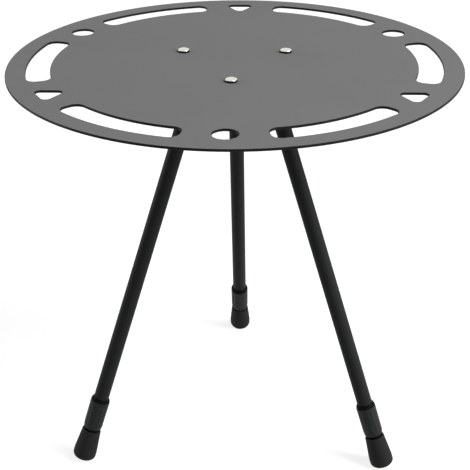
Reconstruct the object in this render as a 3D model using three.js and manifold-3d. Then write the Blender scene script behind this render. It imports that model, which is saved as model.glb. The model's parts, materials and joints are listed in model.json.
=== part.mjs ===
// A round folding camping table: a thin slotted plate bolted to a cast hub, and three legs that hinge
// on the hub, fold together under the plate and lengthen by an inner tube held with a twist lock.
// Lengths are in millimetres and angles in degrees. X points right, Y back and Z up, and the origin is
// on the ground straight below the middle of the table top.

import * as THREE from "three";
import { mergeVertices } from "three/addons/utils/BufferGeometryUtils.js";
import Module from "manifold-3d";

// Accuracy and clearances
const chordError = 0.12; // most that a facet leaves its arc
const weldDistance = 0.0001; // vertices nearer than this are one
const cutOverrun = 1; // how far a cutter passes the face that it opens
const joinDepth = 1; // how far a joined form reaches into its neighbour
const seatGap = 0.3; // between two pieces that bear on each other

// Table top
const topRadius = 225;
const topThickness = 2.5;
const topHeight = 424; // ground to upper face

// Openings round the rim of the table top
const rimWidth = 20; // outside the slots
const slotWidth = 23.7;
const slotCornerRadius = 9.3;
const slotAngle = 37.3; // from end to end, seen from the middle
const roundHoleInset = 33.3; // from the rim to the middle of the hole
const roundHoleRadius = 11.7;
const triangleInset = 30.4;
const triangleSide = 15.8; // between the centres of the rounded corners
const triangleCornerRadius = 5;

// Round head bolts that hold the table top, each with a square neck in the plate
const topBoltCircleRadius = 60;
const topBoltRadius = 2.5;
const topBoltHeadRadius = 6.1;
const topBoltHeadHeight = 3.4;
const topBoltNeckWidth = 5.4;
const topBoltNeckHeight = 2;
const topBoltEnd = 1.3; // past the nut
const topNutWidth = 8; // across the flats
const topNutHeight = 5;
const topWasherRadius = 5;
const topWasherThickness = 1;

// Hub
const hubThickness = 6;
const hubMiddleRadius = 24;
const hubBoreRadius = 9;
const hubRingRadius = 17; // outside of the stiffening ring
const hubRingWall = 4;
const hubRingDepth = 7; // below the hub plate
const hubBossRadius = 11; // end of an arm, round a bolt
const hubPadRadius = 8; // raised pad under a bolt's washer
const hubPadDepth = 3;
const hubRibThickness = 4;
const hubRibDepth = 5;
const clevisPlateRadius = 17; // end of an arm, over a leg
const earRadius = 9; // round the hinge bolt
const earThickness = 4.5;
const earRootLength = 27;

// Hinge
const pivotRadius = 44.3; // from the middle of the table
const pivotDrop = 13.5; // below the hub plate
const legLean = 19.8; // from the vertical, legs spread
const tongueThickness = 8;
const tongueRadius = 8;
const heelLength = 6; // flat on top of the tongue that stops the leg under the hub plate
const hingeWasherRadius = 7.4;
const hingeWasherThickness = 0.8;
const hingeBoltRadius = 2.5;
const hingeHeadRadius = 4.7;
const hingeHeadHeight = 2.7;
const hingeSocketWidth = 3;
const hingeSocketDepth = 1.8;
const hingeNutWidth = 8;
const hingeNutHeight = 5;
const hingeBoltEnd = 1.2; // past the nut

// Leg head
const headShoulderDrop = 10; // from the hinge bolt to the top of the shoulder, along the leg
const headShoulderRadius = 9.25;
const headShoulderHeight = 9;
const headShoulderChamfer = 1;
const headSpigotLength = 24;
const rivetDrop = 10; // from the shoulder to the rivet
const rivetRadius = 1.5;
const rivetHeadRadius = 3;
const rivetHeadHeight = 1.2;

// Tubes
const outerTubeRadius = 8;
const outerTubeWall = 0.8;
const innerTubeRadius = 6.5;
const innerTubeWall = 0.9;

// Twist lock, in heights above the foot's end along the leg
const ferruleTop = 75.1;
const ferruleBottom = 48;
const ferruleFlangeRadius = 10;
const ferruleConeHeight = 2.3;
const ferruleFlangeBottom = 72.5;
const ferruleLipWall = 0.5;
const ferruleSleeveWall = 0.9;
const outerTubeBottom = 58.3;
const collarTop = 71.8;
const collarBottom = 38.2;
const collarTopRadius = 10.3;
const collarGripRadius = 10.1; // at the grip's lower end
const collarBottomRadius = 9.4;
const collarEdge = 0.8; // chamfer on both ends
const collarSeatTop = 46; // upper end of the cone that squeezes the collet
const collarSeatBottom = 42;
const collarRibs = 12;
const collarRibDepth = 0.4;
const facetsPerRib = 3;
const collarGripTop = 68;
const collarGripBottom = 43;
const colletBottom = 43.4;
const colletNoseHeight = 4;
const colletNoseTaper = 0.5;
const colletSlits = 4;
const colletSlitWidth = 1;
const colletSlitTop = 54;

// Foot, in heights above its end along the leg
const footTop = 35.9;
const footTopRadius = 10.2;
const footEdge = 0.8;
const footBellyRadius = 12.4;
const footBellyTop = 11;
const footBellyBottom = 6;
const footTipRadius = 5.4; // flat end
const footFloor = 8; // thickness under the plug
const footCurveSteps = 5; // facets from the flat end up to the belly
const plugFlangeHeight = 2;
const plugSpigotLength = 14;
const guideFlangeHeight = 3;
const guideSpigotLength = 10;
const guideHeadroom = 65; // free length above the guide plug, with the inner tube pushed in

// Places that follow from the sizes above
const hubTop = topHeight - topThickness;
const hubUnderside = hubTop - hubThickness;
const slotOuterRadius = topRadius - rimWidth;
const slotInnerRadius = slotOuterRadius - slotWidth;
const pivotHeight = hubUnderside - pivotDrop;
const lean = THREE.MathUtils.degToRad(legLean);
const outerTubeBore = outerTubeRadius - outerTubeWall;
const innerTubeBore = innerTubeRadius - innerTubeWall;
const plugFlangeBottom = footFloor + seatGap;
const innerTubeBottom = plugFlangeBottom + plugFlangeHeight + seatGap;
const washerPlace = tongueThickness / 2 + seatGap; // inner face, from the middle of the hinge
const earPlace = washerPlace + hingeWasherThickness + seatGap;
const earOuterPlace = earPlace + earThickness;

// The legs and the hinges stand at these angles round the table, with the triangular holes
const legSides = { back: 90, left: 210, right: 330 };
// The bolts and the round holes stand between them
const boltSides = { right: 30, left: 150, front: 270 };
const slotAzimuths = [0, 60, 120, 180, 240, 300];

const wasm = await Module();
wasm.setup();

// Finishes: one new material for every piece
const finish = (color, roughness, metalness) => () =>
  new THREE.MeshStandardMaterial({ color, roughness, metalness });
const greyAluminium = finish("#797979", 0.5, 0.4);
const blackAluminium = finish("#262727", 0.45, 0.4);
const blackCasting = finish("#222323", 0.6, 0.3);
const blackNylon = finish("#242626", 0.6, 0);
const paleNylon = finish("#cfccc2", 0.6, 0);
const blackRubber = finish("#1f2121", 0.9, 0);
const brightSteel = finish("#d2d1cc", 0.25, 1);

// Facets of a full circle, a multiple of four so that every axis meets a corner
function facetsOf(radius) {
  const widest = 2 * Math.acos(1 - chordError / radius);
  return 4 * Math.ceil((2 * Math.PI) / widest / 4);
}

// Points on an arc, in degrees, that runs either way round
function arc(x, y, radius, from, to) {
  const turn = THREE.MathUtils.degToRad(to - from);
  const start = THREE.MathUtils.degToRad(from);
  const steps = Math.max(1, Math.ceil((facetsOf(radius) * Math.abs(turn)) / (2 * Math.PI)));
  return Array.from({ length: steps + 1 }, (_, i) => {
    const angle = start + (turn * i) / steps;
    return new THREE.Vector2(x + radius * Math.cos(angle), y + radius * Math.sin(angle));
  });
}

// A circle as an open ring of points
function circle(x, y, radius) {
  return arc(x, y, radius, 0, 360).slice(0, -1);
}

// A square round a point
function square(x, y, width) {
  const corners = [[-1, -1], [1, -1], [1, 1], [-1, 1]];
  const half = width / 2;
  return corners.map(([across, along]) => new THREE.Vector2(x + half * across, y + half * along));
}

// A regular polygon given by the width across its flats
function hexagon(width) {
  const corner = width / Math.sqrt(3);
  return Array.from({ length: 6 }, (_, i) => {
    const angle = (Math.PI * i) / 3;
    return new THREE.Vector2(corner * Math.cos(angle), corner * Math.sin(angle));
  });
}

// A flat outline with holes, raised from one height to another
function raised(outline, bottom, top, holes = []) {
  const shape = new THREE.Shape(outline);
  shape.holes = holes.map((points) => new THREE.Path(points));
  const geometry = new THREE.ExtrudeGeometry(shape, { depth: top - bottom, bevelEnabled: false });
  return geometry.translate(0, 0, bottom);
}

// An outline of (x, z) points made into a slab between two places on Y
function slab(outline, from, to) {
  return raised(outline, -to, -from).rotateX(Math.PI / 2);
}

// A body turned round Z from (radius, height) pairs that run up its outside and down its bore
function turned(profile, facets) {
  const points = profile.map(([radius, height]) => new THREE.Vector2(radius, height));
  return new THREE.LatheGeometry(points, facets).rotateX(Math.PI / 2);
}

// A turned ring with a bore: the outside runs up, and the bore closes it
function sleeve(bore, outside) {
  const [, bottom] = outside[0];
  const [, top] = outside[outside.length - 1];
  const widest = Math.max(...outside.map(([radius]) => radius));
  return turned([[bore, bottom], ...outside, [bore, top], [bore, bottom]], facetsOf(widest));
}

// A plain rod round Z
function rod(radius, bottom, top) {
  return turned([[0, bottom], [radius, bottom], [radius, top], [0, top]], facetsOf(radius));
}

// A closed geometry as a solid that can be joined and cut
function solid(geometry) {
  const bare = geometry.clone();
  bare.deleteAttribute("normal");
  bare.deleteAttribute("uv");
  const merged = mergeVertices(bare, weldDistance);
  const corners = merged.index.array;
  const kept = [];
  for (let i = 0; i < corners.length; i += 3) {
    const [a, b, c] = corners.slice(i, i + 3);
    if (a !== b && b !== c && c !== a) kept.push(a, b, c);
  }
  const vertProperties = merged.attributes.position.array;
  const triVerts = Uint32Array.from(kept);
  return new wasm.Manifold(new wasm.Mesh({ numProp: 3, vertProperties, triVerts }));
}

// The geometry of one body joined with some and cut by others
function carved(body, joined, cutters) {
  let result = solid(body);
  for (const geometry of joined) result = result.add(solid(geometry));
  for (const geometry of cutters) result = result.subtract(solid(geometry));
  const mesh = result.getMesh();
  const carvedGeometry = new THREE.BufferGeometry();
  carvedGeometry.setAttribute("position", new THREE.BufferAttribute(mesh.vertProperties, 3));
  carvedGeometry.setIndex(new THREE.BufferAttribute(mesh.triVerts, 1));
  return carvedGeometry;
}

// Adds a named mesh to a group
function place(group, name, geometry, material) {
  const mesh = new THREE.Mesh(geometry, material());
  mesh.name = name;
  group.add(mesh);
  return mesh;
}

// Where a point on a circle round the middle lies
function around(radius, azimuth) {
  const angle = THREE.MathUtils.degToRad(azimuth);
  return [radius * Math.cos(angle), radius * Math.sin(angle)];
}

// A curved slot with rounded corners, whose ends lie on rays from the middle
function slotOutline(azimuth) {
  const outerPlace = slotOuterRadius - slotCornerRadius;
  const innerPlace = slotInnerRadius + slotCornerRadius;
  const outerInset = THREE.MathUtils.radToDeg(Math.asin(slotCornerRadius / outerPlace));
  const innerInset = THREE.MathUtils.radToDeg(Math.asin(slotCornerRadius / innerPlace));
  const start = azimuth - slotAngle / 2;
  const end = azimuth + slotAngle / 2;
  const corner = (radius, at, from, to) => arc(...around(radius, at), slotCornerRadius, from, to);
  return [
    ...corner(outerPlace, start + outerInset, start - 90, start + outerInset),
    ...arc(0, 0, slotOuterRadius, start + outerInset, end - outerInset).slice(1, -1),
    ...corner(outerPlace, end - outerInset, end - outerInset, end + 90),
    ...corner(innerPlace, end - innerInset, end + 90, end - innerInset + 180),
    ...arc(0, 0, slotInnerRadius, end - innerInset, start + innerInset).slice(1, -1),
    ...corner(innerPlace, start + innerInset, start + innerInset + 180, start + 270),
  ];
}

// A triangle with rounded corners, one of them towards the middle of the table
function triangleOutline(azimuth) {
  const [x, y] = around(topRadius - triangleInset, azimuth);
  const cornerPlace = triangleSide / Math.sqrt(3);
  return [180, 300, 60].flatMap((turn) => {
    const direction = azimuth + turn;
    const [dx, dy] = around(cornerPlace, direction);
    return arc(x + dx, y + dy, triangleCornerRadius, direction - 60, direction + 60);
  });
}

// The plate with its slots, its holes and a square hole for each bolt's neck
function tableTop() {
  const neckHoleWidth = topBoltNeckWidth + 2 * seatGap;
  const roundHole = (side) => circle(...around(topRadius - roundHoleInset, side), roundHoleRadius);
  const neckHole = (side) => square(...around(topBoltCircleRadius, side), neckHoleWidth);
  const holes = [
    ...slotAzimuths.map(slotOutline),
    ...Object.values(legSides).map(triangleOutline),
    ...Object.values(boltSides).flatMap((side) => [roundHole(side), neckHole(side)]),
  ];
  const cutters = holes.map((hole) => raised(hole, hubTop - cutOverrun, topHeight + cutOverrun));
  return carved(raised(circle(0, 0, topRadius), hubTop, topHeight), [], cutters);
}

// The outline round two circles, one at the middle and one further along an azimuth
function armOutline(rootRadius, tipRadius, reach, azimuth) {
  const tangent = THREE.MathUtils.radToDeg(Math.acos((rootRadius - tipRadius) / reach));
  return [
    ...arc(0, 0, rootRadius, azimuth + tangent, azimuth + 360 - tangent),
    ...arc(...around(reach, azimuth), tipRadius, azimuth - tangent, azimuth + tangent),
  ];
}

// One ear of a clevis, from inside the hub plate down round the hinge bolt
function earSlab(from, to) {
  const root = hubUnderside + joinDepth;
  const outline = [
    ...arc(pivotRadius, pivotHeight, earRadius, 180, 360),
    new THREE.Vector2(pivotRadius + earRootLength / 2, root),
    new THREE.Vector2(pivotRadius - earRootLength / 2, root),
  ];
  return slab(outline, from, to);
}

// The cast spider: three arms to the bolts, three to the legs with a clevis each, a ring and ribs below
function hub() {
  const joined = [];
  const underside = hubUnderside + joinDepth;
  const ringBottom = hubUnderside - hubRingDepth;
  const cutters = [rod(hubBoreRadius, ringBottom - cutOverrun, hubTop + cutOverrun)];
  const ringBore = circle(0, 0, hubRingRadius - hubRingWall);
  joined.push(raised(circle(0, 0, hubRingRadius), ringBottom, underside, [ringBore]));
  for (const side of Object.values(boltSides)) {
    const [x, y] = around(topBoltCircleRadius, side);
    const turn = THREE.MathUtils.degToRad(side);
    const arm = armOutline(hubMiddleRadius, hubBossRadius, topBoltCircleRadius, side);
    const padBottom = hubUnderside - hubPadDepth;
    const ribStart = hubRingRadius - joinDepth;
    const ribOutline = [
      new THREE.Vector2(ribStart, underside),
      new THREE.Vector2(ribStart, hubUnderside - hubRibDepth),
      new THREE.Vector2(topBoltCircleRadius - hubPadRadius, padBottom),
      new THREE.Vector2(topBoltCircleRadius - hubPadRadius + joinDepth, underside),
    ];
    joined.push(raised(arm, hubUnderside, hubTop));
    joined.push(rod(hubPadRadius, padBottom, underside).translate(x, y, 0));
    joined.push(slab(ribOutline, -hubRibThickness / 2, hubRibThickness / 2).rotateZ(turn));
    const boltHole = rod(topBoltRadius + seatGap, padBottom - cutOverrun, hubTop + cutOverrun);
    cutters.push(boltHole.translate(x, y, 0));
  }
  for (const side of Object.values(legSides)) {
    const turn = THREE.MathUtils.degToRad(side);
    const arm = armOutline(hubMiddleRadius, clevisPlateRadius, pivotRadius, side);
    joined.push(raised(arm, hubUnderside, hubTop));
    joined.push(earSlab(earPlace, earOuterPlace).rotateZ(turn));
    joined.push(earSlab(-earOuterPlace, -earPlace).rotateZ(turn));
    cutters.push(
      rod(hingeBoltRadius + seatGap, -earOuterPlace - cutOverrun, earOuterPlace + cutOverrun)
        .rotateX(Math.PI / 2)
        .translate(pivotRadius, 0, pivotHeight)
        .rotateZ(turn),
    );
  }
  return carved(raised(circle(0, 0, hubMiddleRadius), hubUnderside, hubTop), joined, cutters);
}

// A bolt that hangs from its head, whose flat lies at height zero. The head is a flattened dome: its
// shares give how its radius falls as its height grows.
function boltBlank({ radius, length, headRadius, headHeight, headShares }) {
  const head = headShares.map(([out, up]) => [headRadius * out, headHeight * up]);
  const tipChamferShare = 0.2;
  const tipChamfer = radius * tipChamferShare;
  const profile = [
    [0, -length],
    [radius - tipChamfer, -length],
    [radius, tipChamfer - length],
    [radius, 0],
    ...head,
    [0, headHeight],
  ];
  return turned(profile, facetsOf(headRadius));
}

// The table top's bolt, with a smooth head and a square neck that keeps it from turning
function topBolt(length) {
  const blank = boltBlank({
    radius: topBoltRadius,
    length,
    headRadius: topBoltHeadRadius,
    headHeight: topBoltHeadHeight,
    headShares: [[1, 0], [1, 0.45], [0.96, 0.68], [0.86, 0.85], [0.7, 0.95], [0.45, 1]],
  });
  const neck = raised(square(0, 0, topBoltNeckWidth), -topBoltNeckHeight, joinDepth);
  return carved(blank, [neck], []);
}

// The hinge's bolt, with a button head and a hexagonal socket
function hingeBolt(length) {
  const blank = boltBlank({
    radius: hingeBoltRadius,
    length,
    headRadius: hingeHeadRadius,
    headHeight: hingeHeadHeight,
    headShares: [[1, 0], [1, 0.2], [0.93, 0.5], [0.8, 0.75], [0.6, 0.92], [0.4, 1]],
  });
  const socketFloor = hingeHeadHeight - hingeSocketDepth;
  const socket = raised(hexagon(hingeSocketWidth), socketFloor, hingeHeadHeight + cutOverrun);
  return carved(blank, [], [socket]);
}

// A lock nut from height zero up: a hexagon with a round collar over its insert
function lockNut(width, height, boltRadius) {
  const hexHeightShare = 0.75;
  const crownWidthShare = 0.92;
  const hex = raised(hexagon(width), 0, height * hexHeightShare);
  const crown = rod((width * crownWidthShare) / 2, 0, height);
  return carved(hex, [crown], [rod(boltRadius + seatGap, -cutOverrun, height + cutOverrun)]);
}

// A flat washer from height zero up
function washer(bore, radius, thickness) {
  return sleeve(bore, [[radius, 0], [radius, thickness]]);
}

// The point of an upright frame at the hinge bolt, seen in the leaning frame of a leg
function leaning(x, z) {
  return new THREE.Vector2(
    x * Math.cos(lean) + z * Math.sin(lean),
    z * Math.cos(lean) - x * Math.sin(lean),
  );
}

// The leg's upper end: a tongue round the hinge bolt, a shoulder and a spigot in the outer tube.
// Its frame has the hinge bolt at the origin and the leg along -Z.
function legHead() {
  const heelHeight = pivotDrop - seatGap;
  const shoulderTop = -headShoulderDrop;
  const shoulderBottom = shoulderTop - headShoulderHeight;
  const tongueBottom = shoulderTop - joinDepth;
  const tongue = [
    new THREE.Vector2(-tongueRadius, tongueBottom),
    new THREE.Vector2(tongueRadius, tongueBottom),
    new THREE.Vector2(tongueRadius, 0),
    leaning(heelLength, heelHeight),
    leaning(0, heelHeight),
    ...arc(0, 0, tongueRadius, 90 - legLean, 180),
  ];
  const shoulder = turned(
    [
      [0, shoulderBottom - headSpigotLength],
      [outerTubeBore - seatGap, shoulderBottom - headSpigotLength],
      [outerTubeBore - seatGap, shoulderBottom],
      [headShoulderRadius - headShoulderChamfer, shoulderBottom],
      [headShoulderRadius, shoulderBottom + headShoulderChamfer],
      [headShoulderRadius, shoulderTop - headShoulderChamfer],
      [headShoulderRadius - headShoulderChamfer, shoulderTop],
      [0, shoulderTop],
    ],
    facetsOf(headShoulderRadius),
  );
  const half = tongueThickness / 2;
  const boltHole = rod(hingeBoltRadius + seatGap, -half - cutOverrun, half + cutOverrun).rotateX(Math.PI / 2);
  const rivetHole = rod(rivetRadius + seatGap, -headShoulderRadius, headShoulderRadius)
    .rotateX(Math.PI / 2)
    .translate(0, 0, shoulderBottom - rivetDrop);
  return carved(slab(tongue, -half, half), [shoulder], [boltHole, rivetHole]);
}

// A rivet across the leg, with a domed head on both sides of the tube
function rivet() {
  const seat = outerTubeRadius + seatGap;
  const headShares = [[1, 0], [0.9, 0.5], [0.6, 0.9], [0.3, 1]];
  const head = headShares.map(([out, up]) => [rivetHeadRadius * out, seat + rivetHeadHeight * up]);
  const half = [[rivetRadius, seat], ...head, [0, seat + rivetHeadHeight]];
  const other = half.map(([radius, height]) => [radius, -height]).reverse();
  return turned([...other, ...half], facetsOf(rivetHeadRadius)).rotateX(Math.PI / 2);
}

// The foot's outside from its end up, with a round underside
function footProfile() {
  // How far the handles of the round underside reach along its two sides
  const handleShare = 0.6;
  const curve = new THREE.CubicBezierCurve(
    new THREE.Vector2(footTipRadius, 0),
    new THREE.Vector2(THREE.MathUtils.lerp(footTipRadius, footBellyRadius, handleShare), 0),
    new THREE.Vector2(footBellyRadius, footBellyBottom * (1 - handleShare)),
    new THREE.Vector2(footBellyRadius, footBellyBottom),
  );
  const round = curve.getPoints(footCurveSteps).map((point) => [point.x, point.y]);
  return [
    [0, 0],
    ...round,
    [footBellyRadius, footBellyTop],
    [footTopRadius, footTop - footEdge],
    [footTopRadius - footEdge / 2, footTop],
  ];
}

// Height of the foot's end on the leg's axis when the leaning foot just touches the ground
function footEndHeight() {
  const lowest = footProfile().map(([radius, height]) => height * Math.cos(lean) - radius * Math.sin(lean));
  return -Math.min(...lowest);
}

// The rubber foot: a cup that the inner tube stands in
function rubberFoot() {
  const cupRadius = innerTubeRadius + seatGap;
  const profile = [...footProfile(), [cupRadius, footTop], [cupRadius, footFloor], [0, footFloor]];
  return turned(profile, facetsOf(footBellyRadius));
}

// A plug with a flange and a spigot, which points down from the flange
function tubePlug(flangeRadius, flangeHeight, spigotLength) {
  const spigotRadius = innerTubeBore - seatGap;
  const profile = [
    [0, -spigotLength],
    [spigotRadius, -spigotLength],
    [spigotRadius, 0],
    [flangeRadius, 0],
    [flangeRadius, flangeHeight],
    [0, flangeHeight],
  ];
  return turned(profile, facetsOf(flangeRadius));
}

// The fitting on the outer tube's end, with a cone that shows above the collar and a sleeve inside it
function lockFerrule() {
  const bore = outerTubeRadius + seatGap;
  const sleeveRadius = bore + ferruleSleeveWall;
  return sleeve(bore, [
    [sleeveRadius, ferruleBottom],
    [sleeveRadius, ferruleFlangeBottom],
    [ferruleFlangeRadius, ferruleFlangeBottom],
    [ferruleFlangeRadius, ferruleTop - ferruleConeHeight],
    [bore + ferruleLipWall, ferruleTop],
  ]);
}

// The split ring that grips the inner tube
function lockCollet() {
  const bore = innerTubeRadius + seatGap;
  const outside = outerTubeRadius;
  const ring = sleeve(bore, [
    [outside - colletNoseTaper, colletBottom],
    [outside, colletBottom + colletNoseHeight],
    [outside, outerTubeBottom - seatGap],
  ]);
  const slits = Array.from({ length: colletSlits }, (_, i) => {
    const outline = [
      new THREE.Vector2(0, -colletSlitWidth / 2),
      new THREE.Vector2(outside + cutOverrun, -colletSlitWidth / 2),
      new THREE.Vector2(outside + cutOverrun, colletSlitWidth / 2),
      new THREE.Vector2(0, colletSlitWidth / 2),
    ];
    const turn = (2 * Math.PI * i) / colletSlits;
    return raised(outline, colletBottom - cutOverrun, colletSlitTop).rotateZ(turn);
  });
  return carved(ring, [], slits);
}

// The collar that the user turns, with shallow grip ribs
function lockCollar() {
  const bore = outerTubeRadius + seatGap + ferruleSleeveWall + seatGap;
  const throat = innerTubeRadius + seatGap;
  const seatRadius = outerTubeRadius - colletNoseTaper + seatGap;
  const radiusAt = (height) =>
    THREE.MathUtils.mapLinear(height, collarGripBottom, collarTop, collarGripRadius, collarTopRadius);
  const outside = [
    [collarBottomRadius - collarEdge, collarBottom],
    [collarBottomRadius, collarBottom + collarEdge],
    [collarGripRadius, collarGripBottom],
    [collarGripRadius, collarGripBottom + collarRibDepth],
    [radiusAt(collarGripTop), collarGripTop - collarRibDepth],
    [radiusAt(collarGripTop), collarGripTop],
    [radiusAt(collarTop - collarEdge / 2), collarTop - collarEdge / 2],
    [radiusAt(collarTop) - collarEdge / 2, collarTop],
  ];
  const inside = [
    [bore, collarTop],
    [bore, collarSeatTop],
    [seatRadius, collarSeatBottom],
    [throat, collarSeatBottom - joinDepth],
    [throat, collarBottom],
  ];
  const geometry = turned([...outside, ...inside, outside[0]], facetsPerRib * collarRibs);
  const position = geometry.attributes.position;
  const gripMiddle = (collarGripBottom + collarGripTop) / 2;
  const gripReach = (collarGripTop - collarGripBottom - collarRibDepth) / 2;
  const insideWall = (bore + collarGripRadius) / 2;
  for (let i = 0; i < position.count; i += 1) {
    const x = position.getX(i);
    const y = position.getY(i);
    const height = position.getZ(i);
    const radius = Math.hypot(x, y);
    const onGrip = Math.abs(height - gripMiddle) < gripReach && radius > insideWall;
    if (!onGrip) continue;
    const ripple = (1 - Math.cos(collarRibs * Math.atan2(y, x))) / 2;
    const scale = (radius - collarRibDepth * ripple) / radius;
    position.setXY(i, x * scale, y * scale);
  }
  return geometry;
}

// The outer tube, drilled for the rivet, between two heights on the leg
function outerTube(top, rivetHeight) {
  const tube = sleeve(outerTubeBore, [[outerTubeRadius, outerTubeBottom], [outerTubeRadius, top]]);
  const drill = rod(rivetRadius + seatGap, -outerTubeRadius - cutOverrun, outerTubeRadius + cutOverrun)
    .rotateX(Math.PI / 2)
    .translate(0, 0, rivetHeight);
  return carved(tube, [], [drill]);
}

const table = new THREE.Group();

place(table, "table_top", tableTop(), greyAluminium);
place(table, "leg_hub", hub(), blackCasting);

// Bolts, washers and nuts that hold the plate to the hub
const topWasherBottom = hubUnderside - hubPadDepth - topWasherThickness;
const topBoltLength = topHeight - topWasherBottom + topNutHeight + topBoltEnd;
for (const [side, azimuth] of Object.entries(boltSides)) {
  const stack = new THREE.Group();
  const [x, y] = around(topBoltCircleRadius, azimuth);
  stack.position.set(x, y, 0);
  table.add(stack);

  place(stack, `${side}_top_bolt`, topBolt(topBoltLength), brightSteel).position.z = topHeight;

  const flatWasher = washer(topBoltRadius + seatGap, topWasherRadius, topWasherThickness);
  place(stack, `${side}_top_washer`, flatWasher, brightSteel).position.z = topWasherBottom;

  // The nut hangs upside down, with its round crown towards the bolt's end
  const nutForm = lockNut(topNutWidth, topNutHeight, topBoltRadius);
  const nut = place(stack, `${side}_top_nut`, nutForm, brightSteel);
  nut.rotation.x = Math.PI;
  nut.position.z = topWasherBottom;
}

// Legs
const legLength = (pivotHeight - footEndHeight()) / Math.cos(lean); // hinge bolt to the foot's end
const shoulderBottom = legLength - headShoulderDrop - headShoulderHeight;
const guideTop = shoulderBottom - headSpigotLength - guideHeadroom;
const innerTubeTop = guideTop - guideFlangeHeight - seatGap;
const hingeBoltLength = 2 * (earOuterPlace + seatGap) + hingeNutHeight + hingeBoltEnd;

for (const [side, azimuth] of Object.entries(legSides)) {
  // In this group X points outwards, away from the middle, and Y along the hinge bolt
  const corner = new THREE.Group();
  corner.rotation.z = THREE.MathUtils.degToRad(azimuth);
  table.add(corner);

  const hinge = new THREE.Group();
  hinge.position.set(pivotRadius, 0, pivotHeight);
  corner.add(hinge);

  const bolt = place(hinge, `${side}_hinge_bolt`, hingeBolt(hingeBoltLength), brightSteel);
  bolt.rotation.x = Math.PI / 2;
  bolt.position.y = -earOuterPlace - seatGap;

  const nutForm = lockNut(hingeNutWidth, hingeNutHeight, hingeBoltRadius);
  const nut = place(hinge, `${side}_hinge_nut`, nutForm, brightSteel);
  nut.rotation.x = -Math.PI / 2;
  nut.position.y = earOuterPlace + seatGap;

  for (const [end, direction] of [["head", -1], ["nut", 1]]) {
    const spacer = place(
      hinge,
      `${side}_hinge_washer_${end}_side`,
      washer(hingeBoltRadius + seatGap, hingeWasherRadius, hingeWasherThickness),
      blackNylon,
    );
    spacer.rotation.x = (-direction * Math.PI) / 2;
    spacer.position.y = direction * washerPlace;
  }

  // The leaning leg, whose -Z runs down its axis from the hinge bolt
  const leg = new THREE.Group();
  leg.rotation.y = -lean;
  hinge.add(leg);
  place(leg, `${side}_leg_head`, legHead(), blackCasting);

  // From here heights count up from the foot's end
  const shaft = new THREE.Group();
  shaft.position.z = -legLength;
  leg.add(shaft);

  const tubeTop = shoulderBottom - seatGap;
  const rivetHeight = shoulderBottom - rivetDrop;
  place(shaft, `${side}_outer_tube`, outerTube(tubeTop, rivetHeight), blackAluminium);
  place(shaft, `${side}_head_rivet`, rivet(), brightSteel).position.z = rivetHeight;
  place(shaft, `${side}_lock_ferrule`, lockFerrule(), blackNylon);
  place(shaft, `${side}_lock_collet`, lockCollet(), paleNylon);
  place(shaft, `${side}_lock_collar`, lockCollar(), blackNylon);

  const innerTube = sleeve(innerTubeBore, [
    [innerTubeRadius, innerTubeBottom],
    [innerTubeRadius, innerTubeTop],
  ]);
  place(shaft, `${side}_inner_tube`, innerTube, blackAluminium);

  const guide = place(
    shaft,
    `${side}_guide_plug`,
    tubePlug(outerTubeBore - seatGap, guideFlangeHeight, guideSpigotLength),
    blackNylon,
  );
  guide.position.z = guideTop - guideFlangeHeight;

  // The foot's plug stands on the rubber with its flange down
  const plug = place(
    shaft,
    `${side}_foot_plug`,
    tubePlug(innerTubeRadius, plugFlangeHeight, plugSpigotLength),
    blackNylon,
  );
  plug.rotation.x = Math.PI;
  plug.position.z = plugFlangeBottom + plugFlangeHeight;

  place(shaft, `${side}_rubber_foot`, rubberFoot(), blackRubber);
}

export default table;
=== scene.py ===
# The looks of a round folding camping table: a slotted plate on a cast hub, and three telescopic legs
# with twist locks and rubber feet. Lengths are in metres and angles in degrees. Z points up, Y back.

import json
import math

import bmesh
import bpy
import numpy as np
from mathutils import Matrix, Vector


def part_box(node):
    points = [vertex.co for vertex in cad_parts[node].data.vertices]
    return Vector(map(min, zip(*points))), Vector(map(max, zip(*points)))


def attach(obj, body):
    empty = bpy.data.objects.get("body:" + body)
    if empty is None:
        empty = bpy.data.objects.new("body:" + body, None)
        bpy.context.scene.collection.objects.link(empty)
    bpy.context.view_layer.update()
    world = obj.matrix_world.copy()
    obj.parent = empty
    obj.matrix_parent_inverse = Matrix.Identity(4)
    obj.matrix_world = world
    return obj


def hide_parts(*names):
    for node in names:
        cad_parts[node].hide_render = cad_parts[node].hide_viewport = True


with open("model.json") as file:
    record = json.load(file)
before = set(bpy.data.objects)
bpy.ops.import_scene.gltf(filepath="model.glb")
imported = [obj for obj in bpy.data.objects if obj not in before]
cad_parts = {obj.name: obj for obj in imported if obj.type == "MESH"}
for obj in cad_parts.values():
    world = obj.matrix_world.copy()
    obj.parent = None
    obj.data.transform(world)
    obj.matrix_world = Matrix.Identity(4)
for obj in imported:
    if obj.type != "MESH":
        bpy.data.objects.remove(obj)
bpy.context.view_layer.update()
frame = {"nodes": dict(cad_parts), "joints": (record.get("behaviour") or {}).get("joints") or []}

joints = {joint["name"]: joint for joint in frame["joints"]}
scene = bpy.context.scene

# Camera, measured on the photograph: its place round the table, its direction and its framing
CAMERA_TURN = 2.19
CAMERA_DISTANCE = 1.0649
CAMERA_ABOVE_TOP = 0.3539
CAMERA_PITCH = 26.70
CAMERA_YAW = 1.558
CAMERA_ROLL = -0.934
CAMERA_SENSOR_MM = 36.0
PHOTO_SIZE = 470
PHOTO_FOCAL_LENGTH = 1117.3
PHOTO_CENTRE = (207.14, 224.9)

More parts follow.
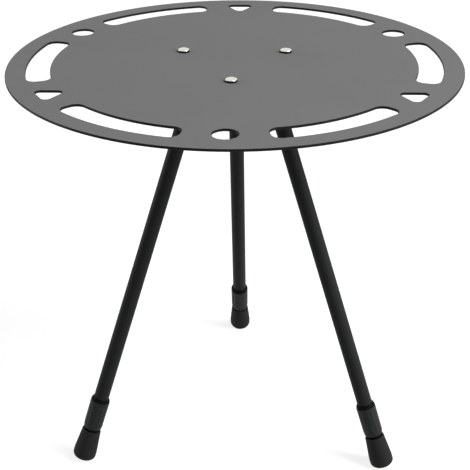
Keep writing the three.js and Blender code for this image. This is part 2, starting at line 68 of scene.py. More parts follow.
# Light: each lamp has a place, a size and a power
FLOOR_SIZE = 40.0
FLOOR_COLOUR = (0.45, 0.45, 0.45, 1)
FLOOR_GLOW = 0.77
AMBIENT = 0.11
BACKGROUND = FLOOR_GLOW + FLOOR_COLOUR[0] * AMBIENT
LAMP_TARGET = (0, 0, 0.2)
LAMPS = {
    "key": ((2.32, -0.94, 3.2), 1.8, 112),
    "side": ((2.9, -0.94, 1.1), 1.6, 68),
    "rim": ((-2.7, 0.5, 0.9), 1.4, 45),
}

# Which leg and which bolt stand where round the table
LEG_SIDES = {"back": 90, "left": 210, "right": 330}
BOLT_SIDES = {"right": 30, "left": 150, "front": 270}

# Plate, in which what isn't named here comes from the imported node
PLATE_SIZES = {
    "Edge Radius": 0.0005,
    "Rim Width": 0.020,
    "Slot Width": 0.0237,
    "Slot Corner": 0.0093,
    "Slot Angle": math.radians(37.3),
    "Round Hole Inset": 0.0333,
    "Round Hole Radius": 0.0117,
    "Triangle Inset": 0.0304,
    "Triangle Side": 0.0158,
    "Triangle Corner": 0.005,
    "Bolt Circle": 0.060,
    "Neck Hole Width": 0.006,
    "Neck Hole Corner": 0.0005,
}

# Bolts of the table top and of the hinges
BOLT_RADIUS = 0.0025
BOLT_PITCH = 0.0008
NECK_WIDTH = 0.0054
NECK_HEIGHT = 0.002
HINGE_HEAD_HEIGHT = 0.0027
HINGE_SOCKET_WIDTH = 0.003
HINGE_SOCKET_DEPTH = 0.0018
NUT_CLEARANCE = 0.0002
WASHER_CLEARANCE = 0.0003
# Below this height on a bolt's head its flank is painted dark: painted reflection and shade
PAINTED_SHADE_TOP = 0.0023
PAINTED_SHADE_BLEND = 0.0003

# Shares of a bolt's radius, length, pitch or head
THREAD_DEPTH_SHARE = 0.5
THREAD_FREE_SHARE = 0.25
THREAD_ROOT_SHARE = 0.9
TIP_LENGTH_SHARE = 0.3
TIP_RADIUS_SHARE = 0.7
EASE_SHARE = 0.03
SOCKET_FLOOR_SHARE = 0.15
HINGE_HEAD_SHARES = (0.52, 0.18)
TOP_HEAD_SHARES = (0.45, 0.45)

# Shares of a nut's width or height, and of a washer's thickness
NUT_HEX_SHARE = 0.72
NUT_FACE_SHARE = 0.97
NUT_CHAMFER_SHARE = 0.54
NUT_CROWN_SHARE = 0.46
NUT_SHOULDER_SHARE = 0.9
NUT_BEVEL_SHARE = 0.06
WASHER_EASE_SHARE = 0.25

# Castings
HUB_VOXEL = 0.0007
HEAD_VOXEL = 0.0004
CASTING_SMOOTHING = 6
CASTING_SOFTNESS = 0.5

# Tubes and locks, along the leg from the foot's end
OUTER_TUBE_WALL = 0.0008
INNER_TUBE_WALL = 0.0009
TUBE_EDGE = 0.0002
RIVET_HOLE_RADIUS = 0.0018
RIVET_SEAT = 0.00005
FERRULE_SLEEVE = 0.0009
FERRULE_CLEARANCE = 0.0002
FERRULE_CONE = 0.0023
FERRULE_FLANGE = 0.0026
FERRULE_LIP = 0.0008
FERRULE_EDGE = 0.0003
COLLET_SLITS = 4
COLLET_SLIT_WIDTH = 0.001
COLLET_SLIT_TOP = 0.054
COLLET_NOSE = 0.004
COLLET_TAPER = 0.0005
COLLET_CLEARANCE = 0.0003
COLLET_EDGE = 0.0003
GRIP_RIBS = 12
GRIP_DEPTH = 0.0004
GRIP_BOTTOM = 0.043
GRIP_TOP = 0.068
GRIP_FADE = 0.0015
GRIP_FADE_BLEND = 0.2
COLLAR_GRIP_RADIUS = 0.0101
COLLAR_BOTTOM_RADIUS = 0.0094
COLLAR_EDGE = 0.0008
COLLAR_BORE = 0.0095
COLLAR_SEAT_TOP = 0.046
COLLAR_SEAT_BOTTOM = 0.042
COLLAR_THROAT = 0.0068
COLLAR_THROAT_EASE = 0.001
PLUG_CLEARANCE = 0.0003
PLUG_EDGE = 0.0004
GUIDE_FLANGE = 0.003
FOOT_PLUG_FLANGE = 0.002

# Foot
FOOT_TOP_RADIUS = 0.0102
FOOT_TIP_RADIUS = 0.0054
FOOT_BELLY_TOP = 0.011
FOOT_BELLY_BOTTOM = 0.006
FOOT_FLOOR = 0.008
FOOT_CUP = 0.0068
FOOT_LIP = 0.0008
FOOT_DISH = 0.0014
FOOT_EDGE = 0.0008
FOOT_SHOULDER = 0.001
FOOT_DIMPLE = 0.0008
FOOT_DIMPLE_SHARES = (0.45, 0.55)

# Facets, points and steps
FINE_FACETS = 96
SMALL_FACETS = 72
RIM_FACETS = 360
DRILL_FACETS = 48
FACETS_PER_RIB = 12
GRIP_ROWS = 49
SLOT_ARC_POINTS = 24
TRIANGLE_ARC_POINTS = 18
NECK_ARC_POINTS = 6
EDGE_ARC_POINTS = 6
THREAD_ROWS_PER_PITCH = 8
DOME_STEPS = 12
RIVET_STEPS = 8
CHAMFER_STEPS = 6
CORNER_STEPS = 4
SMALL_CORNER_STEPS = 3
CREASE_ANGLE = 38
STRAIGHT_ANGLE = 4
CORNER_SHARE = 0.45
CUT_GRAIN = 0.00001
SAME_POINT = 0.000001

# Colours of each finish, from its darkest to its lightest
PLATE_GREYS = ((0.1748, 0.1748, 0.17572), (0.2052, 0.2052, 0.20628))
# Nearly black for the plate's rim and opening walls: painted shade
EDGE_PAINTED_SHADE_BLACKS = ((0.004, 0.004, 0.004), (0.010, 0.010, 0.010))
TUBE_BLACKS = ((0.0140, 0.0150, 0.0145), (0.0230, 0.0245, 0.0238))
# Darker than the outer tube for the inner tube: painted shade of the gap between collar and foot
INNER_TUBE_PAINTED_SHADE_BLACKS = ((0.004, 0.004, 0.004), (0.007, 0.007, 0.007))
CASTING_BLACKS = ((0.010, 0.0105, 0.0105), (0.017, 0.018, 0.018))
NYLON_BLACKS = ((0.008, 0.009, 0.009), (0.016, 0.017, 0.017))
# Nearly black for the lock ferrule: painted shade of the recess where the tube enters the collar
FERRULE_PAINTED_SHADE_BLACKS = ((0.002, 0.002, 0.002), (0.004, 0.004, 0.004))
NYLON_WHITES = ((0.56, 0.54, 0.48), (0.66, 0.64, 0.58))
RUBBER_BLACKS = ((0.009, 0.0095, 0.0095), (0.018, 0.019, 0.018))
STEEL_GREYS = ((0.56, 0.555, 0.53), (0.74, 0.73, 0.70))
# A bolt's flank tone, dark as painted reflection and shade, and its crown's steel tone
FLANK_SHADE_TO_CROWN_TONES = ((0.03, 0.03, 0.03), (0.88, 0.87, 0.83))

# Kinds of a tree's inputs by the last word of their labels. All others are plain numbers
SOCKET_KINDS = {"Count": "Int", "Material": "Material"}

# The mesh attribute that keeps the coordinates in which a piece is made
OWN_PLACE = "own_place"


class Wire:
    """The output of a node. Each operator on it adds a Math node to its tree."""

    def __init__(self, tree, socket):
        self.tree = tree
        self.socket = socket

    def __add__(self, other):
        return self.tree.math("ADD", self, other)

    def __radd__(self, other):
        return self.tree.math("ADD", other, self)

    def __sub__(self, other):
        return self.tree.math("SUBTRACT", self, other)

    def __rsub__(self, other):
        return self.tree.math("SUBTRACT", other, self)

    def __mul__(self, other):
        return self.tree.math("MULTIPLY", self, other)

    def __rmul__(self, other):
        return self.tree.math("MULTIPLY", other, self)

    def __truediv__(self, other):
        return self.tree.math("DIVIDE", self, other)

    def __pow__(self, other):
        return self.tree.math("POWER", self, other)

    def __neg__(self):
        return self.tree.math("MULTIPLY", self, -1)


class Tree:
    """A node tree that takes nodes one by one."""

    def __init__(self, tree):
        self.tree = tree

    def add(self, kind, settings=None, sockets=None, output=0):
        """One node: its settings first, then the values or links of its sockets. Returns one output."""
        node = self.tree.nodes.new(kind)
        for name, value in (settings or {}).items():
            if name == "items":
                while len(node.index_switch_items) < value:
                    node.index_switch_items.new()
            else:
                setattr(node, name, value)
        for key, value in (sockets or {}).items():
            self.feed(node.inputs[key], value)
        return Wire(self, node.outputs[output])

    def feed(self, socket, value):
        """Links or sets a socket, or links several wires to one that takes them."""
        if isinstance(value, Wire):
            self.tree.links.new(value.socket, socket)
        elif isinstance(value, list):
            for wire in value:
                self.tree.links.new(wire.socket, socket)
        else:
            socket.default_value = value

    def math(self, operation, *values):
        return self.add("ShaderNodeMath", {"operation": operation}, dict(enumerate(values)))

    def vector(self, x, y, z):
        return self.add("ShaderNodeCombineXYZ", None, {"X": x, "Y": y, "Z": z})

    def show(self, kind, wire):
        """Ends a material's or the world's tree with a node that shows a wire."""
        self.feed(self.tree.nodes.new(kind).inputs["Surface"], wire)

    def parts(self, wire):
        """The X, Y and Z of a vector."""
        return [self.add("ShaderNodeSeparateXYZ", None, {"Vector": wire}, axis) for axis in "XYZ"]


def emptied(owner):
    """The node tree of a material or of the world, without its first nodes."""
    owner.use_nodes = True
    owner.node_tree.nodes.clear()
    return Tree(owner.node_tree)


# Geometry trees


def geometry_tree(name, labels):
    """An empty tree with an input for each label. Returns it with its inputs as wires and its end."""
    group = bpy.data.node_groups.new(name, "GeometryNodeTree")
    group.interface.new_socket("Geometry", in_out="INPUT", socket_type="NodeSocketGeometry")
    group.interface.new_socket("Geometry", in_out="OUTPUT", socket_type="NodeSocketGeometry")
    for label in labels:
        kind = SOCKET_KINDS.get(label.split()[-1], "Float")
        group.interface.new_socket(label, in_out="INPUT", socket_type=f"NodeSocket{kind}")
    tree = Tree(group)
    start = group.nodes.new("NodeGroupInput")
    end = group.nodes.new("NodeGroupOutput")
    wires = {socket.name: Wire(tree, socket) for socket in start.outputs if socket.name}
    return tree, wires, end


def evaluated_mesh(obj):
    """The object's mesh with its modifiers applied."""
    bpy.context.view_layer.update()
    depsgraph = bpy.context.evaluated_depsgraph_get()
    shown = obj.evaluated_get(depsgraph)
    return bpy.data.meshes.new_from_object(shown, preserve_all_data_layers=True, depsgraph=depsgraph)


def linked(name, data):
    obj = bpy.data.objects.new(name, data)
    scene.collection.objects.link(obj)
    return obj


def grown(mesh, group, values):
    """The mesh that a geometry tree makes of another, with the tree's inputs set by their names."""
    helper = linked("helper", mesh)
    modifier = helper.modifiers.new(group.name, "NODES")
    modifier.node_group = group
    sockets = [item for item in group.interface.items_tree if item.in_out == "INPUT"]
    names = {item.name: item.identifier for item in sockets}
    for name, value in values.items():
        modifier[names[name]] = value
    made = evaluated_mesh(helper)
    helper.modifiers.remove(modifier)
    bpy.data.objects.remove(helper)
    return made


def arcs(tree, base, pieces, count):
    """Bends a curve's points onto arcs, one after another: each is a middle, a radius, a start and a
    sweep in radians, and whether it leaves its two ends to its neighbours."""
    index = tree.add("GeometryNodeInputIndex")
    which = tree.math("FLOOR", index / count)
    step = index - which * count

    def pick(values):
        sockets = {"Index": which, **{str(i): value for i, value in enumerate(values)}}
        settings = {"data_type": "FLOAT", "items": len(values)}
        return tree.add("GeometryNodeIndexSwitch", settings, sockets)

    middle_x, middle_y, radius, start, sweep, inner = [pick(column) for column in zip(*pieces)]
    angle = start + sweep * (step + inner) / (count - 1 + 2 * inner)
    x = middle_x + radius * tree.math("COSINE", angle)
    y = middle_y + radius * tree.math("SINE", angle)
    return tree.add("GeometryNodeSetPosition", None, {"Geometry": base, "Position": tree.vector(x, y, 0.0)})


def closed_arcs(tree, pieces, count):
    base = tree.add("GeometryNodeCurvePrimitiveCircle", None, {"Resolution": count * len(pieces)})
    return arcs(tree, base, pieces, count)


def slot_curve(tree, sizes):
    """A slot across the X axis, with round corners and with ends that lie on rays from the middle."""
    corner = sizes["Slot Corner"]
    outer = sizes["Plate Radius"] - sizes["Rim Width"]
    outer_place = outer - corner
    inner_place = outer - sizes["Slot Width"] + corner
    half = sizes["Slot Angle"] / 2
    outer_end = half - tree.math("ARCSINE", corner / outer_place)
    inner_end = half - tree.math("ARCSINE", corner / inner_place)
    quarter = math.pi / 2

    def corner_arc(place, at, start, end):
        x = place * tree.math("COSINE", at)
        y = place * tree.math("SINE", at)
        return (x, y, corner, start, end - start, 0.0)

    pieces = [
        corner_arc(outer_place, -outer_end, -half - quarter, -outer_end),
        (0.0, 0.0, outer, -outer_end, 2 * outer_end, 1.0),
        corner_arc(outer_place, outer_end, outer_end, half + quarter),
        corner_arc(inner_place, inner_end, half + quarter, inner_end + math.pi),
        (0.0, 0.0, inner_place - corner, inner_end, -2 * inner_end, 1.0),
        corner_arc(inner_place, -inner_end, math.pi - inner_end, 3 * quarter - half),
    ]
    return closed_arcs(tree, pieces, SLOT_ARC_POINTS)


def triangle_curve(tree, sizes):
    """A triangle with round corners on the X axis, with one corner towards the middle."""
    middle = sizes["Plate Radius"] - sizes["Triangle Inset"]
    reach = sizes["Triangle Side"] / math.sqrt(3)
    third = 2 * math.pi / 3
    pieces = []
    for turn in (math.pi, math.pi + third, math.pi + 2 * third):
        x = middle + reach * math.cos(turn)
        y = reach * math.sin(turn)
        pieces.append((x, y, sizes["Triangle Corner"], turn - third / 2, third, 0.0))
    return closed_arcs(tree, pieces, TRIANGLE_ARC_POINTS)


def square_curve(tree, sizes):
    """A square with round corners round the Z axis."""
    corner = sizes["Neck Hole Corner"]
    place = sizes["Neck Hole Width"] / 2 - corner
    quarter = math.pi / 2
    signs = [(1, 1), (-1, 1), (-1, -1), (1, -1)]
    pieces = [(place * x, place * y, corner, i * quarter, quarter, 0.0) for i, (x, y) in enumerate(signs)]
    return closed_arcs(tree, pieces, NECK_ARC_POINTS)


def round_curve(tree, radius, facets):
    return tree.add("GeometryNodeCurvePrimitiveCircle", None, {"Resolution": facets, "Radius": radius})


def copies_round(tree, geometry, count, start, step, circle=0.0, turning=1.0):
    """Copies of a geometry on a circle round the Z axis, made real. Each turns with its place on the
    circle, or stands as it is made where turning is zero. Angles are in radians."""
    angle = start + tree.add("GeometryNodeInputIndex") * step
    place = tree.vector(circle * tree.math("COSINE", angle), circle * tree.math("SINE", angle), 0.0)
    points = tree.add("GeometryNodePoints", None, {"Count": count, "Position": place})
    turn = tree.vector(0.0, 0.0, turning * angle)
    sockets = {"Points": points, "Instance": geometry, "Rotation": turn}
    copies = tree.add("GeometryNodeInstanceOnPoints", None, sockets)
    return tree.add("GeometryNodeRealizeInstances", None, {"Geometry": copies})


def lifted(tree, geometry, height):
    sockets = {"Geometry": geometry, "Translation": tree.vector(0.0, 0.0, height)}
    return tree.add("GeometryNodeTransform", None, sockets)


def dressed(tree, geometry, material):
    return tree.add("GeometryNodeSetMaterial", None, {"Geometry": geometry, "Material": material})


def radius_and_angle(tree, x, y):
    """How far a point lies from the Z axis, and at which angle."""
    return (x * x + y * y) ** 0.5, tree.math("ARCTAN2", y, x)


def sunk(tree, sizes, end, x, y, share):
    """Ends a tree that moves points towards the Z axis by a share of their radius."""
    offset = tree.vector(-share * x, -share * y, 0.0)
    moved = tree.add("GeometryNodeSetPosition", None, {"Geometry": sizes["Geometry"], "Offset": offset})
    made = tree.add("GeometryNodeRealizeInstances", None, {"Geometry": moved})
    tree.feed(end.inputs["Geometry"], dressed(tree, made, sizes["Material"]))
    return tree.tree


def plate_tree(labels):
    """The plate: an edge profile that runs round the rim and every opening, closed by two flat faces."""
    tree, sizes, end = geometry_tree("slotted_plate", labels)
    sixth = math.pi / 3
    third = 2 * sixth
    leg_start = sizes["First Leg Angle"]
    bolt_start = leg_start - sixth
    round_place = sizes["Plate Radius"] - sizes["Round Hole Inset"]
    round_hole = round_curve(tree, sizes["Round Hole Radius"], SMALL_FACETS)
    neck_hole = square_curve(tree, sizes)
    holes = [
        copies_round(tree, slot_curve(tree, sizes), 6, 0.0, sixth),
        copies_round(tree, round_hole, 3, bolt_start, third, round_place),
        copies_round(tree, neck_hole, 3, bolt_start, third, sizes["Bolt Circle"], turning=0.0),
        copies_round(tree, triangle_curve(tree, sizes), 3, leg_start, third),
    ]
    joined_holes = tree.add("GeometryNodeJoinGeometry", None, {"Geometry": holes})
    rim = round_curve(tree, sizes["Plate Radius"], RIM_FACETS)
    turned_holes = tree.add("GeometryNodeReverseCurve", None, {"Curve": joined_holes})
    outlines = tree.add("GeometryNodeJoinGeometry", None, {"Geometry": [rim, turned_holes]})
    outlines = tree.add("GeometryNodeSetCurveNormal", {"mode": "Z_UP"}, {"Curve": outlines})

    # The edge's profile: its X points out of the material and its Y down
    edge = sizes["Edge Radius"]
    half = sizes["Thickness"] / 2
    line = tree.add("GeometryNodeCurvePrimitiveLine")
    points = {"Curve": line, "Count": 2 * EDGE_ARC_POINTS}
    base = tree.add("GeometryNodeResampleCurve", None, points)
    quarter = math.pi / 2
    corners = [
        (-edge, edge - half, edge, -quarter, quarter, 0.0),
        (-edge, half - edge, edge, 0.0, quarter, 0.0),
    ]
    profile = arcs(tree, base, corners, EDGE_ARC_POINTS)
    wall = tree.add("GeometryNodeCurveToMesh", None, {"Curve": outlines, "Profile Curve": profile})
    wall = tree.add("GeometryNodeSetShadeSmooth", None, {"Geometry": wall})
    # The wall round the rim and every opening is painted nearly black as painted shade
    wall = dressed(tree, wall, sizes["Edge Material"])

    # The flat faces fill the wall's upper and lower ends
    height = tree.parts(tree.add("GeometryNodeInputPosition"))[2]
    single = 2 - tree.add("GeometryNodeInputMeshEdgeNeighbors")
    upper = tree.math("GREATER_THAN", height, 0.0) * single
    ends = tree.add("GeometryNodeMeshToCurve", None, {"Mesh": wall, "Selection": upper})
    face = tree.add("GeometryNodeFillCurve", None, {"Curve": ends})
    top = lifted(tree, face, half)
    bottom = tree.add("GeometryNodeFlipFaces", None, {"Mesh": lifted(tree, face, -half)})
    faces = tree.add("GeometryNodeJoinGeometry", None, {"Geometry": [top, bottom]})
    faces = tree.add("GeometryNodeSetShadeSmooth", None, {"Geometry": faces, "Shade Smooth": False})
    faces = dressed(tree, faces, sizes["Face Material"])
    joined = tree.add("GeometryNodeJoinGeometry", None, {"Geometry": [wall, faces]})
    closed = tree.add("GeometryNodeMergeByDistance", None, {"Geometry": joined, "Distance": SAME_POINT})
    made = lifted(tree, closed, sizes["Top Height"] - half)
    tree.feed(end.inputs["Geometry"], tree.add("GeometryNodeRealizeInstances", None, {"Geometry": made}))
    return tree.tree


def ring_tree():
    """Copies of a fastener on a circle round the middle of the table."""
    labels = ("Count", "First Angle", "Step", "Circle", "Turning", "Material")
    tree, sizes, end = geometry_tree("fasteners_in_a_ring", labels)
    start = sizes["First Angle"]
    ring = (sizes["Step"], sizes["Circle"], sizes["Turning"])
    made = copies_round(tree, sizes["Geometry"], sizes["Count"], start, *ring)
    tree.feed(end.inputs["Geometry"], dressed(tree, made, sizes["Material"]))
    return tree.tree


def thread_tree():
    """A screw thread cut into the round surface between two heights, fading out at both ends."""
    labels = ("Bottom", "Top", "Pitch", "Depth", "Least Radius", "Material")
    tree, sizes, end = geometry_tree("screw_thread", labels)
    x, y, z = tree.parts(tree.add("GeometryNodeInputPosition"))
    radius, angle = radius_and_angle(tree, x, y)
    turns = z / sizes["Pitch"] - angle / (2 * math.pi)
    groove = tree.math("PINGPONG", turns, 0.5) * 2
    from_bottom = (z - sizes["Bottom"]) / sizes["Pitch"]
    from_top = (sizes["Top"] - z) / sizes["Pitch"]
    nearest = tree.math("MINIMUM", from_bottom, from_top)
    fade = tree.add("ShaderNodeClamp", None, {"Value": nearest})
    outside = tree.math("GREATER_THAN", radius, sizes["Least Radius"])
    depth = groove * fade * outside * sizes["Depth"]
    return sunk(tree, sizes, end, x, y, depth / tree.math("MAXIMUM", radius, SAME_POINT))


def ribs_tree():
    """Shallow flutes round a collar, which fade out at both ends of its grip."""
    labels = ("Count", "Bottom", "Top", "Depth", "Fade", "Least Radius", "Material")
    tree, sizes, end = geometry_tree("grip_ribs", labels)
    x, y, z = tree.parts(tree.add("GeometryNodeInputPosition"))
    radius, angle = radius_and_angle(tree, x, y)
    ripple = (1 - tree.math("COSINE", angle * sizes["Count"])) / 2
    nearest = tree.math("MINIMUM", z - sizes["Bottom"], sizes["Top"] - z) / sizes["Fade"]
    fade = tree.add("ShaderNodeClamp", None, {"Value": nearest})
    outside = tree.math("GREATER_THAN", radius, sizes["Least Radius"])
    eased_fade = tree.math("SMOOTH_MIN", fade, 1.0, GRIP_FADE_BLEND)
    return sunk(tree, sizes, end, x, y, ripple ** 2 * eased_fade * outside * sizes["Depth"] / radius)


# Materials


def finish(name, build):
    """A material whose look follows the piece's own coordinates."""
    made = bpy.data.materials.new(name)
    tree = emptied(made)
    place = tree.add("ShaderNodeAttribute", {"attribute_name": OWN_PLACE}, output="Vector")
    shader = tree.add("ShaderNodeBsdfPrincipled", None, build(tree, place), "BSDF")
    tree.show("ShaderNodeOutputMaterial", shader)
    return made


def noise(tree, place, size, detail=2.0, stretch=(1, 1, 1)):
    """Noise from about 0 to 1, whose features are about as large as size."""
    scaled = tree.add("ShaderNodeMapping", None, {"Vector": place, "Scale": stretch})
    sockets = {"Vector": scaled, "Scale": 1 / size, "Detail": detail}
    return tree.add("ShaderNodeTexNoise", None, sockets)


def between(tree, share, first, second):
    """A colour from first to second."""
    sockets = {0: share, 6: (*first, 1), 7: (*second, 1)}
    return tree.add("ShaderNodeMix", {"data_type": "RGBA"}, sockets, 2)


def bump(tree, height, distance):
    return tree.add("ShaderNodeBump", None, {"Distance": distance, "Height": height})


def mixed(first, second, share):
    """One value from two, in which the first has the given share."""
    return first * share + second * (1 - share)


def satin_plate(tree, place):
    """Grey anodised sheet: an even grey with a very fine matt grain and faint clouds."""
    clouds = noise(tree, place, size=0.09, detail=3.0)
    grain = noise(tree, place, size=0.0005, detail=3.0)
    return {
        "Base Color": between(tree, mixed(clouds, grain, share=0.7), *PLATE_GREYS),
        "Roughness": 0.66 + 0.1 * grain,
        "Specular IOR Level": 0.08,
        "Normal": bump(tree, grain, distance=0.00001),
    }


def shade_painted_edge(tree, place):
    """The cut edges of the sheet and the walls of its openings, painted nearly black as painted shade."""
    marks = noise(tree, place, size=0.0012, stretch=(1, 1, 4))
    return {
        "Base Color": between(tree, marks, *EDGE_PAINTED_SHADE_BLACKS),
        "Roughness": 0.45 + 0.15 * marks,
        "Specular IOR Level": 0.1,
        "Normal": bump(tree, marks, distance=0.00002),
    }


def drawn_tube(blacks, line_share):
    """Anodised tube with faint lines along its length from drawing. Its colour lies between two blacks,
    and the lines have the given share in it."""

    def build(tree, place):
        lines = noise(tree, place, size=0.0006, detail=3.0, stretch=(1, 1, 0.02))
        bands = noise(tree, place, size=0.004, stretch=(1, 1, 0.05))
        grain = noise(tree, place, size=0.0003)
        return {
            "Base Color": between(tree, mixed(lines, bands, line_share), *blacks),
            "Roughness": 0.44 + 0.14 * lines + 0.06 * grain,
            "Specular IOR Level": 0.05,
            "Normal": bump(tree, mixed(lines, grain, share=0.8), distance=0.000012),
        }

    return build


def black_cast(tree, place):
    """Powder coated casting with a soft orange peel."""
    peel = noise(tree, place, size=0.0011, detail=3.0)
    grain = noise(tree, place, size=0.0002)
    return {
        "Base Color": between(tree, peel, *CASTING_BLACKS),
        "Metallic": 0.1,
        "Roughness": 0.5 + 0.14 * peel,
        "Specular IOR Level": 0.3,
        "Normal": bump(tree, mixed(peel, grain, share=0.8), distance=0.00006),
    }


def moulded_nylon(blacks, texture_share, gloss):
    """Nylon with a fine spark-eroded texture. Its colour lies between two blacks, and the texture has the
    given share in it."""

    def build(tree, place):
        texture = noise(tree, place, size=0.00045, detail=4.0)
        patches = noise(tree, place, size=0.006)
        return {
            "Base Color": between(tree, mixed(texture, patches, texture_share), *blacks),
            "Roughness": 0.5 + 0.16 * texture,
            "Specular IOR Level": gloss,
            "Normal": bump(tree, texture, distance=0.00004),
        }

    return build


def natural_nylon(tree, place):
    """Unfilled nylon, slightly uneven in colour."""
    patches = noise(tree, place, size=0.003, detail=3.0)
    return {
        "Base Color": between(tree, patches, *NYLON_WHITES),
        "Roughness": 0.5 + 0.1 * patches,
        "Normal": bump(tree, patches, distance=0.00002),
    }


def matt_rubber(tree, place):
    """Moulded rubber with a dusty, fine-pored skin."""
    pores = noise(tree, place, size=0.0005, detail=4.0)
    dust = noise(tree, place, size=0.008, detail=4.0)
    return {
        "Base Color": between(tree, mixed(dust, pores, share=0.6), *RUBBER_BLACKS),
        "Roughness": 0.72 + 0.2 * dust,
        "Specular IOR Level": 0.15,
        "Normal": bump(tree, pores, distance=0.00005),
    }


def turning_marks(tree, place):
    """Fine rings round a piece's axis."""
    x, y, z = tree.parts(place)
    radius = (x * x + y * y) ** 0.5
    return noise(tree, tree.vector(radius, z, 0.0), size=0.00012)


def steel(tree, marks, colour):
    """Stainless steel of a colour, with marks from turning."""
    return {
        "Base Color": colour,
        "Metallic": 1.0,
        "Roughness": 0.18 + 0.12 * marks,
        "Normal": bump(tree, marks, distance=0.000004),
    }


def turned_steel(tree, place):
    marks = turning_marks(tree, place)
    cloud = noise(tree, place, size=0.002)
    return steel(tree, marks, between(tree, mixed(marks, cloud, share=0.5), *STEEL_GREYS))


def steel_with_painted_flank_shade(tree, place):
    """A bolt's bright steel crown over a lower flank painted dark, as painted reflection and shade, from
    the seat up to a set height.
    """
    span = {
        "Value": tree.parts(place)[2],
        "From Min": PAINTED_SHADE_TOP - PAINTED_SHADE_BLEND,
        "From Max": PAINTED_SHADE_TOP + PAINTED_SHADE_BLEND,
    }
    crown = tree.add("ShaderNodeMapRange", {"interpolation_type": "SMOOTHSTEP"}, span)
    return steel(tree, turning_marks(tree, place), between(tree, crown, *FLANK_SHADE_TO_CROWN_TONES))


materials = {
    "grey_aluminium": finish("satin_grey_plate", satin_plate),
    "shade_painted_edge": finish("cut_edge_painted_shade", shade_painted_edge),
    "black_aluminium": finish("black_drawn_tube", drawn_tube(TUBE_BLACKS, line_share=0.5)),
    # Painted shade: the inner tube darker than the outer one
    "tube_painted_shade": finish("drawn_tube_painted_shade", drawn_tube(INNER_TUBE_PAINTED_SHADE_BLACKS, line_share=0.0)),
    "black_casting": finish("black_casting", black_cast),
    "black_nylon": finish("black_nylon", moulded_nylon(NYLON_BLACKS, texture_share=0.6, gloss=0.15)),
    # Painted shade: the lock ferrule's near black
    "nylon_painted_shade": finish("nylon_painted_shade", moulded_nylon(FERRULE_PAINTED_SHADE_BLACKS, texture_share=0.0, gloss=0.04)),
    "pale_nylon": finish("natural_nylon", natural_nylon),
    "black_rubber": finish("black_rubber", matt_rubber),
    "bright_steel": finish("bright_steel", turned_steel),
    "steel_with_painted_flank_shade": finish("steel_with_painted_flank_shade", steel_with_painted_flank_shade),
}


# Mesh tools


def mesh_of(name, vertices, faces):
    mesh = bpy.data.meshes.new(name)
    mesh.from_pydata(vertices, [], faces)
    return mesh


def creased(mesh):
    """Shades a mesh smooth, apart from its sharp edges."""
    mesh.shade_smooth()
    mesh.set_sharp_from_angle(angle=math.radians(CREASE_ANGLE))
    return mesh


def with_own_place(mesh):
    """Keeps the coordinates in which a piece is made, for its material."""
    places = np.empty(len(mesh.vertices) * 3, np.float32)
    mesh.vertices.foreach_get("co", places)
    attribute = mesh.attributes.get(OWN_PLACE) or mesh.attributes.new(OWN_PLACE, "FLOAT_VECTOR", "POINT")
    attribute.data.foreach_set("vector", places)
    return mesh


def quarter_turn(steps):
    """Angles from zero to a right angle."""
    return [math.pi / 2 * step / steps for step in range(steps + 1)]


def value_at(value, angle):
    return value(angle) if callable(value) else value


def turned(profile, facets):
    """A closed mesh turned round Z from (radius, height) points that run up the outside. A profile ends
    on the axis or closes on itself, and a radius or height may be a function of the angle."""
    vertices = []
    rings = []
    for radius, height in profile:
        if radius == 0:
            rings.append([len(vertices)] * facets)
            vertices.append((0.0, 0.0, value_at(height, 0.0)))
            continue
        rings.append(list(range(len(vertices), len(vertices) + facets)))
        for i in range(facets):
            angle = 2 * math.pi * i / facets
            reach = value_at(radius, angle)
            vertices.append((reach * math.cos(angle), reach * math.sin(angle), value_at(height, angle)))
    pairs = list(zip(rings, rings[1:]))
    if profile[0][0] != 0:
        pairs.append((rings[-1], rings[0]))
    faces = []
    for lower, upper in pairs:
        for i in range(facets):
            j = (i + 1) % facets
            corners = [lower[i], lower[j], upper[j], upper[i]]
            unique = list(dict.fromkeys(corners))
            if len(unique) > 2:
                faces.append(unique)
    return with_own_place(creased(mesh_of("turned", vertices, faces)))


def eased(points, radius, steps=CORNER_STEPS):
    """A profile with its corners rounded. A profile that doesn't start on the axis is a closed one."""
    closed = points[0][0] != 0
    count = len(points)
    made = []
    for i, point in enumerate(points):
        here = Vector(point)
        if not closed and i in (0, count - 1):
            made.append(tuple(here))
            continue
        before = Vector(points[i - 1])
        after = Vector(points[(i + 1) % count])
        back = before - here
        on = after - here
        turn = math.pi - back.angle(on)
        room = CORNER_SHARE * min(back.length, on.length)
        cut = min(radius * math.tan(turn / 2), room)
        if turn < math.radians(STRAIGHT_ANGLE):
            made.append(tuple(here))
            continue
        first = here + back.normalized() * cut
        last = here + on.normalized() * cut
        for step in range(steps + 1):
            t = step / steps
            made.append(tuple(first * (1 - t) ** 2 + here * 2 * t * (1 - t) + last * t * t))
    return made


def sleeve_profile(bore, outside):
    """A ring's profile: up the outside and down the bore."""
    return [*outside, (bore, outside[-1][1]), (bore, outside[0][1])]


def polygon_radius(width, sides, flat):
    """Radius of a regular polygon as a function of the angle, given by its width across the flats and by
    the angle at which one of its flats lies."""
    side = 2 * math.pi / sides

    def radius(angle):
        turn = (angle - flat + side / 2) % side - side / 2
        return width / 2 / math.cos(turn)

    return radius


def hexagon_radius(width):
    """A hexagon with a corner on the X axis."""
    return polygon_radius(width, 6, math.pi / 6)


def welded(mesh, distance):
    """Joins the points of a mesh that lie closer than a distance, and drops the faces that this closes."""
    made = bmesh.new()
    made.from_mesh(mesh)
    bmesh.ops.remove_doubles(made, verts=made.verts, dist=distance)
    bmesh.ops.dissolve_degenerate(made, edges=made.edges, dist=distance)
    made.to_mesh(mesh)
    made.free()
    return mesh


